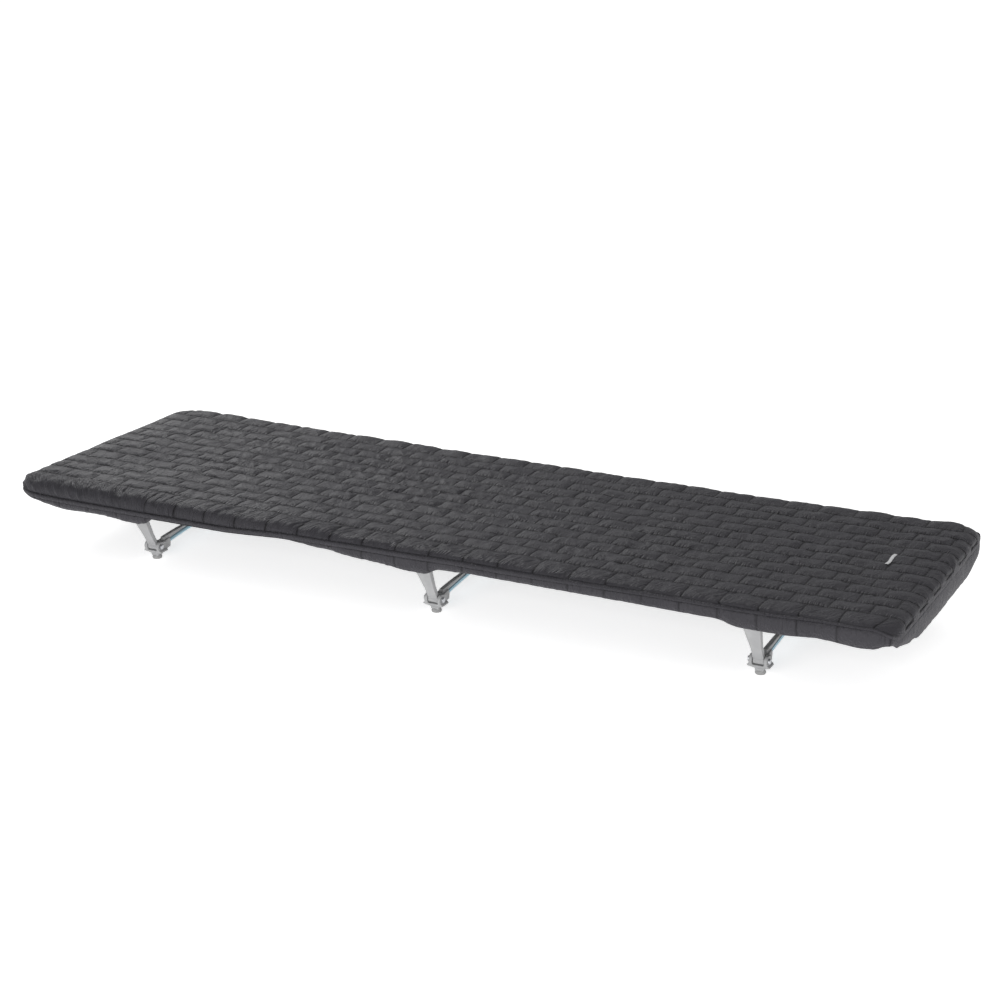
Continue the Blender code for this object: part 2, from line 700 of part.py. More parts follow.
def arm_mesh():
    """The lever arm: a knuckle on the pin, a bar that widens upward, and a cradle for the rail."""
    pivot = Vector((-FOOT_Y - PIVOT_OUT, PIVOT_Z))
    rail = Vector((-RAIL_Y, RAIL_Z))
    length = (rail - pivot).length
    lean = math.atan2(rail.y - pivot.y, rail.x - pivot.x) - math.pi / 2
    inner, outer = CRADLE_INNER, CRADLE_OUTER
    start, end = CRADLE_FROM - lean, CRADLE_TO - lean
    foot = math.acos(-ARM_HALF_THICKNESS / outer) - math.pi
    left_join = 1.5 * math.pi + foot / 2
    right_join = 1.5 * math.pi - foot / 2
    top = (0, length)
    outline = arc((0, 0), ARM_KNUCKLE, math.radians(125), math.radians(415), ARC_STEPS + 4)
    outline += arc(top, outer, right_join, end, ARC_STEPS // 2)
    outline += arc(top, inner, end, start, ARC_STEPS + 2)
    outline += arc(top, outer, start, left_join, ARC_STEPS // 2)
    side = plate(outline, 0.05, IN_AND_UP)
    narrow, wide = ARM_HALF_WIDTH, ARM_TOP_HALF_WIDTH
    half_front = [(narrow, -0.02), (narrow, ARM_FLARE_FROM), (wide, ARM_FLARE_TO), (wide, 0.16)]
    front = half_front + [(-x, z) for x, z in reversed(half_front)]
    mesh = boolean(side, "INTERSECT", [plate(front, 0.12, ALONG_AND_UP)])
    hole = turned([(0, 0.04), (PIN_RADIUS + RUNNING_GAP, 0.04),
                   (PIN_RADIUS + RUNNING_GAP, -0.04), (0, -0.04)], SMALL_ROUND_STEPS, along="X")
    mesh = boolean(mesh, "DIFFERENCE", [hole])
    mesh.transform(Matrix.Rotation(lean, 4, "X"))
    mesh.transform(Matrix.Translation((0, *pivot)))
    return mesh


def make_legs():
    hub, arm, pole = hub_mesh(), arm_mesh(), pole_mesh()
    pin, pad, ferrule = pin_mesh(), foot_pad_mesh(), ferrule_mesh()
    for index, leg_name in enumerate(LEG_NAMES):
        drop = joint_empty(f"{leg_name}_leg_drop", (leg_x(index), 0, 0))
        place = Matrix.Translation((leg_x(index), 0, 0))
        for side, side_name in enumerate(SIDE_NAMES):
            turn = place @ Matrix.Rotation(math.pi * side, 4, "Z")
            name = f"{leg_name}_leg_{side_name}"
            pivot = turn @ Vector((0, -FOOT_Y - PIVOT_OUT, PIVOT_Z))
            swing = joint_empty(f"{name}_arm_swing", pivot)
            pieces = (("hub", hub, "grey_moulding", drop), ("arm", arm, "grey_moulding", swing),
                      ("pole", pole, "anodised_tube", drop), ("pin", pin, "steel_pin", drop),
                      ("foot_pad", pad, "grey_rubber", drop))
            for piece, source, kind, carrier in pieces:
                mesh = source.copy()
                mesh.transform(turn)
                add_piece(f"{name}_{piece}", mesh, kind, carrier, smooth=True)
        mesh = ferrule.copy()
        mesh.transform(place)
        add_piece(f"{leg_name}_leg_ferrule", mesh, "anodised_tube", drop, smooth=True)


make_quilt()
make_cot_bed()
make_legs()
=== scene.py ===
"""A brick-quilted camp cover stretched over its low folding cot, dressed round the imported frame."""

import json
import math

import bmesh
import bpy
import numpy as np
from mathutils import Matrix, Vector
from mathutils.bvhtree import BVHTree

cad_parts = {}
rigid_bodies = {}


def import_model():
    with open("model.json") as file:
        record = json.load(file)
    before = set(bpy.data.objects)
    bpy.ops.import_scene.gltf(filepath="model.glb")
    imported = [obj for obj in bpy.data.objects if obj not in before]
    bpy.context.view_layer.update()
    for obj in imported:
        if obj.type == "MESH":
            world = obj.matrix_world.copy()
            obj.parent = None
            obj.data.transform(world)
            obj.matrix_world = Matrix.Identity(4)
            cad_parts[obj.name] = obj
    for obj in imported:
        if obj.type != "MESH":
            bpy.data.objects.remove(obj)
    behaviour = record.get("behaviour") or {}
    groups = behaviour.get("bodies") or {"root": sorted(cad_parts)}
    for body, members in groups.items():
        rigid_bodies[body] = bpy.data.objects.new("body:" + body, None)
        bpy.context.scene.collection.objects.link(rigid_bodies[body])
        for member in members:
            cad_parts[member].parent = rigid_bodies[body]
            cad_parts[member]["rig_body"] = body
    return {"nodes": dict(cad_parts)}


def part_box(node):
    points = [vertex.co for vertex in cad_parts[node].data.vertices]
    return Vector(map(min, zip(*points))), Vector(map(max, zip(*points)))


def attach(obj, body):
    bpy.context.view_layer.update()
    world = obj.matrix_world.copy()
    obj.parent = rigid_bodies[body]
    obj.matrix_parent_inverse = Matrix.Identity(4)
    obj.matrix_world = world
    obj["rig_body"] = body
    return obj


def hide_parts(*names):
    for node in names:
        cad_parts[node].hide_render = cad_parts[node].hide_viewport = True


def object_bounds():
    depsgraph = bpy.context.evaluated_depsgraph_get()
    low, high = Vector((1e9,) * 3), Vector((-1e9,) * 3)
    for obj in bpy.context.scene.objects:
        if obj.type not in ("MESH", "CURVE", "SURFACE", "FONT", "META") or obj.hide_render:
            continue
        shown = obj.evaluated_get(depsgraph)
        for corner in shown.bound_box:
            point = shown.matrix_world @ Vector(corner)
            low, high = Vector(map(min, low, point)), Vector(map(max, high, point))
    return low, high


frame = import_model()
cad_low, cad_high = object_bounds()
scene = bpy.context.scene


# ---------------------------------------------------------------- studio
# A wide pale floor that glows a little. The camera stands off the near right corner and looks down
# along the bed. A large soft lamp, high behind the left end, shapes the quilting, and two more fill
# the near side and the right end.

scene.view_settings.view_transform = "Standard"

camera = bpy.data.objects.new("camera", bpy.data.cameras.new("camera"))
scene.collection.objects.link(camera)
scene.camera = camera
camera.data.lens = 71.62
camera.data.sensor_width = 36
camera.data.clip_end = 200
camera.location = (1.783, -3.428, 1.469)
turn = math.radians(26.93)
rise = math.radians(18.62)
back = Vector((math.sin(turn) * math.cos(rise), -math.cos(turn) * math.cos(rise), math.sin(rise)))
camera.rotation_mode = "QUATERNION"
camera.rotation_quaternion = (-back).to_track_quat("-Z", "Y")


def add_lamp(name, place, aim, power, width, height):
    lamp = bpy.data.objects.new(name, bpy.data.lights.new(name, "AREA"))
    scene.collection.objects.link(lamp)
    lamp.data.shape = "RECTANGLE"
    lamp.data.size, lamp.data.size_y = width, height
    lamp.data.energy = power
    lamp.location = place
    lamp.rotation_mode = "QUATERNION"
    lamp.rotation_quaternion = (Vector(aim) - Vector(place)).to_track_quat("-Z", "Y")


add_lamp("key_lamp", place=(-4.5, 3.6, 3.0), aim=(0.1, 0, 0.1), power=99, width=1.8, height=1.35)
add_lamp("side_lamp", place=(3.4, -0.6, 0.9), aim=(0.9, 0, 0.1), power=9, width=1.4, height=1.0)
add_lamp("front_lamp", place=(0.4, -3.6, 1.3), aim=(0, 0, 0.1), power=70, width=3.0, height=1.2)

world = bpy.data.worlds.new("studio")
scene.world = world
world.use_nodes = True
sky = world.node_tree.nodes["Background"]
sky.inputs["Color"].default_value = (1, 1, 1, 1)
sky.inputs["Strength"].default_value = 0.50


class Wire:
    """A shader socket that takes part in sums. node() adds any other node and returns its output."""

    def __init__(self, tree, socket=None):
        self.tree, self.socket = tree, socket

    def node(self, kind, settings=None, inputs=None, output=0):
        made = self.tree.nodes.new(kind)
        for name, value in (settings or {}).items():
            setattr(made, name, value)
        for name, value in (inputs or {}).items():
            port = made.inputs[name]
            if isinstance(value, Wire):
                self.tree.links.new(value.socket, port)
            else:
                port.default_value = value
        return Wire(self.tree, made.outputs[output])

    def maths(self, operation, *terms):
        return self.node("ShaderNodeMath", {"operation": operation}, dict(enumerate((self, *terms))))

    def __add__(self, other):
        return self.maths("ADD", other)

    def __sub__(self, other):
        return self.maths("SUBTRACT", other)

    def __mul__(self, other):
        return self.maths("MULTIPLY", other)

    def __truediv__(self, other):
        return self.maths("DIVIDE", other)

    def __rsub__(self, other):
        return self.maths("MULTIPLY", -1.0) + other

    __radd__, __rmul__ = __add__, __mul__

    def between(self, low, high):
        """0 below low, 1 above high, smooth between."""
        limits = {"From Min": low, "From Max": high, "Value": self}
        return self.node("ShaderNodeMapRange", {"interpolation_type": "SMOOTHSTEP"}, limits)

    def mix(self, dark, light):
        """From the dark colour where this is 0 to the light one where it is 1."""
        mixer = self.tree.nodes.new("ShaderNodeMix")
        mixer.data_type = "RGBA"
        self.tree.links.new(self.socket, mixer.inputs["Factor"])
        for port, colour in ((mixer.inputs[6], dark), (mixer.inputs[7], light)):
            if isinstance(colour, Wire):
                self.tree.links.new(colour.socket, port)
            else:
                port.default_value = (*colour, 1)
        return Wire(self.tree, mixer.outputs[2])

    def noise(self, scale, detail=2.0, kind="FBM", roughness=0.5, warp=0.0):
        """Noise over this vector."""
        values = {"Vector": self, "Scale": scale, "Detail": detail, "Roughness": roughness}
        values["Distortion"] = warp
        return self.node("ShaderNodeTexNoise", {"noise_type": kind}, values)

    def stretched(self, x, y, z):
        return self.node("ShaderNodeVectorMath", {"operation": "MULTIPLY"}, {0: self, 1: (x, y, z)})

    def part(self, axis):
        return self.node("ShaderNodeSeparateXYZ", None, {"Vector": self}, "XYZ".index(axis))


def new_finish(name, roughness, metallic=0.0, **steady):
    """A material, with the place vector and the shader that its section builds on."""
    finish = bpy.data.materials.new(name)
    finish.use_nodes = True
    shader = finish.node_tree.nodes["Principled BSDF"]
    shader.inputs["Roughness"].default_value = roughness
    shader.inputs["Metallic"].default_value = metallic
    for socket, value in steady.items():
        shader.inputs[socket.replace("_", " ")].default_value = value
    place = Wire(finish.node_tree).node("ShaderNodeTexCoord", None, None, "Object")
    return finish, place, shader


def feed(shader, socket, value):
    value.tree.links.new(value.socket, shader.inputs[socket])


FLOOR_SIZE = 80.0
FLOOR_GLOW = 0.66
bpy.ops.mesh.primitive_grid_add(x_subdivisions=8, y_subdivisions=8, size=FLOOR_SIZE)
floor = bpy.context.object
floor.name = "floor"
finish, place, shader = new_finish("pale_floor", 0.85, Specular_IOR_Level=0.1)
shader.inputs["Emission Color"].default_value = (1, 1, 1, 1)
shader.inputs["Emission Strength"].default_value = FLOOR_GLOW
feed(shader, "Base Color", place.noise(6.0, 3.0).mix((0.86, 0.86, 0.87), (0.90, 0.90, 0.90)))
floor.data.materials.append(finish)


# ---------------------------------------------------------------- the quilt's shape
# The cover is cut as one flat brick-quilted panel. Its edge rows roll over the cot's rails to a seam
# on the wall, and a skirt runs on down from there to an elastic hem. All its pieces lie on one
# rounded body, which is found from a place on the flat panel and a length down the wall.

EDGE_BAND = 0.0625
EDGE_REACH = 0.022
EDGE_FALL = 0.015
WALL_INSET = 0.0012
WALL_DROP = 0.15
LEFT_FULLNESS = 0.011
RIGHT_FULLNESS = 0.006
EDGE_ROW = 0.066
END_ROW = 0.0785
CROWN = 0.1632
BODY = (cad_high.x - EDGE_BAND, cad_high.y - EDGE_BAND)
FLAT = (BODY[0] + END_ROW, BODY[1] + EDGE_ROW)


def smooth(low, high, value):
    share = np.clip((np.asarray(value, float) - low) / (high - low), 0, 1)
    return share * share * (3 - 2 * share)


def eased(value, places, heights):
    """Heights that pass smoothly from one place to the next."""
    value = np.asarray(value, float)
    level = np.full(value.shape, heights[0], float)
    for index in range(1, len(places)):
        step = heights[index] - heights[index - 1]
        level += step * smooth(places[index - 1], places[index], value)
    return level


def wander(across, along, seed):
    """Smooth seeded noise from -1 to 1 over two coordinates, one wave to a unit."""
    size = 128
    lattice = np.random.default_rng(seed).uniform(-1, 1, (size, size))
    column = np.floor(across).astype(int)
    row = np.floor(along).astype(int)
    right = across - column
    up = along - row
    right = right * right * (3 - 2 * right)
    up = up * up * (3 - 2 * up)

    def level(line):
        left_end = lattice[column % size, line % size]
        right_end = lattice[(column + 1) % size, line % size]
        return left_end * (1 - right) + right_end * right

    return level(row) * (1 - up) + level(row + 1) * up


def crown(x, y):
    """Height of the quilt's upper face along its seams: it lifts at both ends and sags between."""
    lift = eased(x, (-0.95, -0.84, -0.70, -0.45, 0.0, 0.45, 0.80, 0.92),
                 (0.0000, 0.0010, -0.0010, -0.0015, -0.0030, -0.0020, 0.0010, 0.0045))
    roll = 0.0012 * wander(x / 0.11, y / 0.16, 3)
    return CROWN + lift + roll


turn_steps = np.linspace(0, math.pi / 2, 40)
wall_from = EDGE_BAND - WALL_INSET - EDGE_REACH
reach_table = np.r_[0, wall_from + EDGE_REACH * np.sin(turn_steps), EDGE_BAND - WALL_INSET]
fall_table = np.r_[0, EDGE_FALL * (1 - np.cos(turn_steps)), EDGE_FALL + WALL_DROP]
run_table = np.r_[0, np.cumsum(np.hypot(np.diff(reach_table), np.diff(fall_table)))]


def run_to(fall):
    """Length down the rolled edge at which it has fallen this far."""
    return np.interp(fall, fall_table[1:], run_table[1:])


def body_frame(flat_x, flat_y):
    """For places on the flat panel: the point they roll over from, their direction and share."""
    flat_x, flat_y = np.asarray(flat_x, float), np.asarray(flat_y, float)
    side_x, side_y = np.sign(flat_x), np.sign(flat_y)
    share_x = np.clip((abs(flat_x) - BODY[0]) / END_ROW, 0, 1)
    share_y = np.clip((abs(flat_y) - BODY[1]) / EDGE_ROW, 0, 1)
    round_x = share_x * np.sqrt(1 - share_y ** 2 / 2)
    round_y = share_y * np.sqrt(1 - share_x ** 2 / 2)
    square = np.where(side_x < 0, np.where(side_y < 0, 0.22, 0.75), 0.55)
    way_x = ((1 - square) * round_x + square * share_x) * side_x
    way_y = ((1 - square) * round_y + square * share_y) * side_y
    base_x = np.clip(flat_x, -BODY[0], BODY[0])
    base_y = np.clip(flat_y, -BODY[1], BODY[1])
    return base_x, base_y, way_x, way_y, np.hypot(round_x, round_y)


def at_end(flat_x, flat_y):
    """0 along the sides, 1 across the ends, turning over in the corners."""
    beyond_x = np.clip((abs(flat_x) - BODY[0]) / END_ROW, 0, 1)
    beyond_y = np.clip((abs(flat_y) - BODY[1]) / EDGE_ROW, 0, 1)
    return smooth(-0.6, 0.6, beyond_x - beyond_y)


def seam_height(flat_x, flat_y):
    """Where the top panel is sewn to the skirt."""
    side = eased(flat_x, (-0.93, -0.82, -0.45, -0.25, -0.06, 0.13, 0.64, 0.93),
                 (0.138, 0.136, 0.138, 0.148, 0.151, 0.154, 0.1585, 0.1635))
    far = eased(flat_x, (-0.93, 0.93), (0.148, 0.156))
    side = np.where(np.asarray(flat_y) > 0, far, side)
    end = np.where(np.asarray(flat_x) > 0, 0.1475, 0.144)
    share = at_end(flat_x, flat_y)
    return side * (1 - share) + end * share


def hem_height(flat_x, flat_y):
    """Lower edge of the skirt: it dips beside each leg and hangs low across the ends."""
    near = eased(flat_x, (-0.93, -0.84, -0.75, -0.645, -0.632, -0.595, -0.54, -0.30, -0.20, -0.11,
                          0.018, 0.030, 0.066, 0.15, 0.62, 0.675, 0.75, 0.82, 0.89, 0.93, 0.97),
                 (0.120, 0.1105, 0.113, 0.1085, 0.112, 0.130, 0.133, 0.134, 0.128, 0.121,
                  0.1135, 0.1145, 0.128, 0.131, 0.132, 0.1215, 0.1225, 0.1275, 0.1235, 0.125, 0.134))
    far = eased(flat_x, (-0.93, -0.80, -0.645, -0.60, -0.20, 0.0, 0.07, 0.63, 0.69, 0.95),
                (0.122, 0.113, 0.111, 0.131, 0.130, 0.116, 0.131, 0.132, 0.122, 0.124))
    side = np.where(np.asarray(flat_y) > 0, far, near)
    end = eased(flat_y, (-0.3135, -0.27, -0.18, -0.12, 0.20, 0.28, 0.31),
                (0.134, 0.122, 0.104, 0.0915, 0.0915, 0.103, 0.118))
    share = at_end(flat_x, flat_y)
    return side * (1 - share) + end * share


def body_point(frames, run):
    """Points on the quilt's body at a length down its edge, as an array of x, y, z."""
    base_x, base_y, way_x, way_y, share = frames
    reach = np.interp(run, run_table, reach_table)
    fall = np.interp(run, run_table, fall_table)
    scale = np.where(share > 1e-6, reach / np.maximum(share, 1e-6), 0)
    height = crown(base_x, base_y) - fall
    fullness = 1 + np.where(way_x < 0, LEFT_FULLNESS, RIGHT_FULLNESS) / EDGE_BAND
    return np.stack([base_x + way_x * scale * fullness, base_y + way_y * scale, height], -1)


# ---------------------------------------------------------------- quilted top
# Two layers of thin charcoal nylon with polyester loft between, stitched through in staggered bricks.
# Thirteen rows run the length of the bed. The stitch lines stay down while the loft swells between
# them, and the nylon, cut a little full, puckers along every seam.

BRICK = 0.0738
BRICK_START = 0.0429
ROW = 0.045
ROWS_INSIDE = 11
CELLS_ALONG = 14
CELLS_ACROSS = 9
EDGE_CELLS = 12
PUFF = 0.0052


def grid_mesh(name, points, closed=False):
    """A mesh over a two-way array of points, joined round its first way if closed."""
    rows, columns = points.shape[:2]
    index = np.arange(rows * columns).reshape(rows, columns)
    if closed:
        index = np.vstack([index, index[:1]])
    quads = np.stack([index[:-1, :-1], index[1:, :-1], index[1:, 1:], index[:-1, 1:]], -1)
    quads = quads.reshape(-1, 4)
    mesh = bpy.data.meshes.new(name)
    mesh.vertices.add(rows * columns)
    mesh.vertices.foreach_set("co", points.reshape(-1))
    mesh.loops.add(quads.size)
    mesh.loops.foreach_set("vertex_index", quads.reshape(-1))
    mesh.polygons.add(len(quads))
    mesh.polygons.foreach_set("loop_start", np.arange(0, quads.size, 4))
    mesh.update(calc_edges=True)
    mesh.validate()
    mesh.polygons.foreach_set("use_smooth", np.ones(len(mesh.polygons), bool))
    return mesh


def add_piece(mesh, body, finish):
    piece = bpy.data.objects.new(mesh.name, mesh)
    scene.collection.objects.link(piece)
    mesh.materials.clear()
    mesh.materials.append(finish)
    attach(piece, body)
    return piece


def coordinates(mesh, what="co"):
    values = np.empty(len(mesh.vertices) * 3, np.float32)
    mesh.vertices.foreach_get(what, values)
    return values.reshape(-1, 3).astype(float)


first_cell = -math.ceil((FLAT[0] + BRICK_START) / (BRICK / CELLS_ALONG)) + 1
last_cell = math.ceil((FLAT[0] - BRICK_START) / (BRICK / CELLS_ALONG)) - 1
cell_x = np.arange(first_cell, last_cell + 1)
flat_x = np.r_[-FLAT[0], BRICK_START + cell_x * BRICK / CELLS_ALONG, FLAT[0]]
seam_cell = np.r_[first_cell - 1, cell_x, last_cell + 1]
inside = np.linspace(-BODY[1], BODY[1], ROWS_INSIDE * CELLS_ACROSS + 1)
edge = BODY[1] + EDGE_ROW * np.arange(1, EDGE_CELLS + 1) / EDGE_CELLS
flat_y = np.r_[-edge[::-1], inside, edge]
row_of = np.r_[np.zeros(EDGE_CELLS), 1 + np.arange(ROWS_INSIDE * CELLS_ACROSS) // CELLS_ACROSS,
               np.full(EDGE_CELLS + 1, ROWS_INSIDE + 1)].astype(int)
row_seam = np.zeros(len(flat_y), bool)
row_seam[EDGE_CELLS:len(flat_y) - EDGE_CELLS:CELLS_ACROSS] = True
row_seam[[0, -1]] = True

sheet_x, sheet_y = np.meshgrid(flat_x, flat_y, indexing="ij")
stagger = (row_of % 2) * (CELLS_ALONG // 2)
brick_seam = (seam_cell[:, None] + stagger[None, :]) % CELLS_ALONG == 0
stitched = brick_seam | row_seam[None, :]
stitched[[0, -1], :] = True

frames = body_frame(sheet_x, sheet_y)
seam_fall = crown(frames[0], frames[1]) - seam_height(sheet_x, sheet_y)
top_points = body_point(frames, frames[4] * run_to(seam_fall))

settle = 0.0007 * wander(sheet_x / 0.05, sheet_y / 0.05, 11)
top_points[..., 2] += settle * smooth(0, 0.4, 1 - frames[4])
drift = 0.0011 * smooth(0, 0.3, 1 - frames[4])
top_points[..., 0] += drift * wander(sheet_x / 0.06, sheet_y / 0.03, 12)
top_points[..., 1] += drift * wander(sheet_x / 0.05, sheet_y / 0.06, 13)
top_mesh = grid_mesh("quilted_top", top_points)
top_uv = top_mesh.uv_layers.new(name="flat")
vertex_of = np.empty(len(top_mesh.loops), np.int32)
top_mesh.loops.foreach_get("vertex_index", vertex_of)
flat_places = np.stack([sheet_x, sheet_y], -1).reshape(-1, 2)
top_uv.data.foreach_set("uv", flat_places[vertex_of].reshape(-1).astype(np.float32))


def swell(mesh, stitched, loose, push, frames):
    """Cloth held at its stitches and blown up from below, as the loft does it."""
    body = bpy.data.objects.new("swelling", mesh)
    scene.collection.objects.link(body)
    held = body.vertex_groups.new(name="stitches")
    held.add(np.nonzero(stitched.reshape(-1))[0].tolist(), 1.0, "REPLACE")
    cloth = body.modifiers.new("cloth", "CLOTH")
    settings = cloth.settings
    settings.vertex_group_mass = held.name
    settings.quality = 4
    settings.mass = 0.1
    settings.use_pressure = True
    settings.uniform_pressure_force = push
    settings.shrink_min = -loose
    settings.tension_stiffness = settings.compression_stiffness = 15
    settings.shear_stiffness = 5
    settings.bending_stiffness = 0.05
    settings.air_damping = 2
    settings.effector_weights.gravity = 0
    cloth.collision_settings.use_collision = False
    cloth.collision_settings.use_self_collision = False
    cloth.point_cache.frame_start, cloth.point_cache.frame_end = 1, frames
    for step in range(1, frames + 1):
        scene.frame_set(step)
    blown = body.evaluated_get(bpy.context.evaluated_depsgraph_get()).data
    points = coordinates(blown)
    bpy.data.objects.remove(body)
    scene.frame_set(1)
    return points


rest_points = coordinates(top_mesh)
rest_normals = coordinates(top_mesh, "normal")
past_seam_x = np.mod(seam_cell[:, None] + stagger[None, :], CELLS_ALONG) / CELLS_ALONG
to_seam_x = np.minimum(past_seam_x, 1 - past_seam_x)
cell_in_row = np.r_[np.arange(EDGE_CELLS) / EDGE_CELLS,
                    (np.arange(ROWS_INSIDE * CELLS_ACROSS) % CELLS_ACROSS) / CELLS_ACROSS,
                    np.arange(EDGE_CELLS + 1) / EDGE_CELLS]
dome_y = np.sqrt(np.clip(4 * cell_in_row * (1 - cell_in_row), 0, 1))[None, :]
dome_x = np.sqrt(np.clip(to_seam_x * 5, 0, 1))
dome = (dome_x * dome_y).reshape(-1)
puffed = swell(top_mesh, stitched, loose=0.03, push=4.0, frames=20)

# The puff keeps part of the cloth's own swelling and part of an even dome. It dies away down the
# end walls, where the last brick seams are drawn in tight.
SLIDE_LIMIT = 0.0025
OWN_SWELL = 0.45
LAST_SEAM = 0.955
LAST_SEAM_DEPTH = 0.0018
moved = puffed - rest_points
out = (moved * rest_normals).sum(1)
moved -= rest_normals * out[:, None]
slide = np.linalg.norm(moved, axis=1, keepdims=True)
moved *= np.minimum(1, SLIDE_LIMIT / np.maximum(slide, 1e-9))
out = OWN_SWELL * out + (1 - OWN_SWELL) * PUFF * dome
round_the_end = (abs(sheet_x) - BODY[0]).reshape(-1) / END_ROW
out *= 1 - 0.75 * smooth(0.35, 0.75, round_the_end)
out = np.clip(out, -0.0008, PUFF * 1.25)
end_seam = (brick_seam & (sheet_x > LAST_SEAM)).reshape(-1)
out[end_seam] = -LAST_SEAM_DEPTH
puffed = rest_points + moved + rest_normals * out[:, None]
top_mesh.vertices.foreach_set("co", puffed.astype(np.float32).reshape(-1))


WELD = ("WELD", {"merge_threshold": 0.00001})


def applied(mesh, *modifiers):
    """The mesh with modifiers worked in: each is a kind and its settings."""
    body = bpy.data.objects.new("working", mesh)
    scene.collection.objects.link(body)
    for kind, settings in modifiers:
        modifier = body.modifiers.new(kind, kind)
        for name, value in settings.items():
            setattr(modifier, name, value)
    result = bpy.data.meshes.new_from_object(body.evaluated_get(bpy.context.evaluated_depsgraph_get()))
    name = mesh.name
    bpy.data.objects.remove(body)
    bpy.data.meshes.remove(mesh)
    result.name = name
    return result


def folds(across, along, seed):
    """Sharp-backed folds from -1 to 1, one to a unit across them."""
    return 1 - 2 * abs(wander(across, along, seed))


top_mesh = applied(top_mesh, ("SUBSURF", {"levels": 1, "render_levels": 1}))

flat_now = np.zeros((len(top_mesh.vertices), 2))
loop_vertex = np.empty(len(top_mesh.loops), np.int32)
top_mesh.loops.foreach_get("vertex_index", loop_vertex)
loop_uv = np.empty(len(top_mesh.loops) * 2, np.float32)
top_mesh.uv_layers["flat"].data.foreach_get("uv", loop_uv)
flat_now[loop_vertex] = loop_uv.reshape(-1, 2)
fx, fy = flat_now[:, 0], flat_now[:, 1]

# Puckers stand along the row seams, gathers run up from the near edge, and crumples lie anywhere.
# All of them end at the rim, where the panel is sewn down.
PUCKER_WIDTH = 0.0075
PUCKER_REACH = 0.009
GATHER_WIDTH = 0.0120
GATHER_HEIGHT = 0.0019
BROAD_WIDTH = 0.027
BROAD_HEIGHT = 0.0030
CRUMPLE_HEIGHT = 0.0012
SEWN_RIM = 0.006
band = np.clip(fy / ROW, -6, 6)
row_line = np.abs(band - np.floor(band) - 0.5) * ROW
pucker_height = eased(fx, (-0.9, 0.2), (0.0009, 0.0015))
pucker = wander(fx / PUCKER_WIDTH, fy / ROW, 21) * np.exp(-row_line / PUCKER_REACH) * pucker_height
gather_zone = eased(fx, (-0.88, -0.74, -0.30, -0.10, 0.6), (0.25, 1.0, 1.0, 0.45, 0.25))
edge_share = np.clip((abs(fy) - BODY[1] + 0.015) / EDGE_ROW, 0, 1) * (fy < 0)
swoop = 0.95 * np.clip(-fy - BODY[1] + 0.01, 0, 1) * np.clip((-0.60 - fx) / 0.2, -0.5, 1)
gather = folds((fx - swoop) / GATHER_WIDTH, fy / 0.09, 22) * GATHER_HEIGHT
broad = folds((fx - swoop) / BROAD_WIDTH, fy / 0.12, 25) * BROAD_HEIGHT * smooth(-0.66, -0.74, fx)
gather = (gather * gather_zone + broad) * smooth(0, 0.5, edge_share)
crumple_zone = np.clip(0.35 + 0.9 * wander(fx / 0.22 + 5, fy / 0.15, 24), 0.1, 1.0)
crumple = folds((fx + 0.7 * fy) / 0.021, (fy - 0.5 * fx) / 0.034, 23) * CRUMPLE_HEIGHT
far_calm = 1 - 0.7 * smooth(0.20, 0.27, fy)
relief = gather + (pucker + crumple * crumple_zone) * far_calm
to_rim = np.minimum(FLAT[0] - abs(fx), FLAT[1] - abs(fy))
relief *= smooth(0, SEWN_RIM, to_rim)
now = coordinates(top_mesh) + coordinates(top_mesh, "normal") * relief[:, None]
top_mesh.vertices.foreach_set("co", now.astype(np.float32).reshape(-1))
top_mesh.update()


def raise_bump(shader, height, strength, distance):
    values = {"Height": height, "Strength": strength, "Distance": distance}
    feed(shader, "Normal", height.node("ShaderNodeBump", None, values))


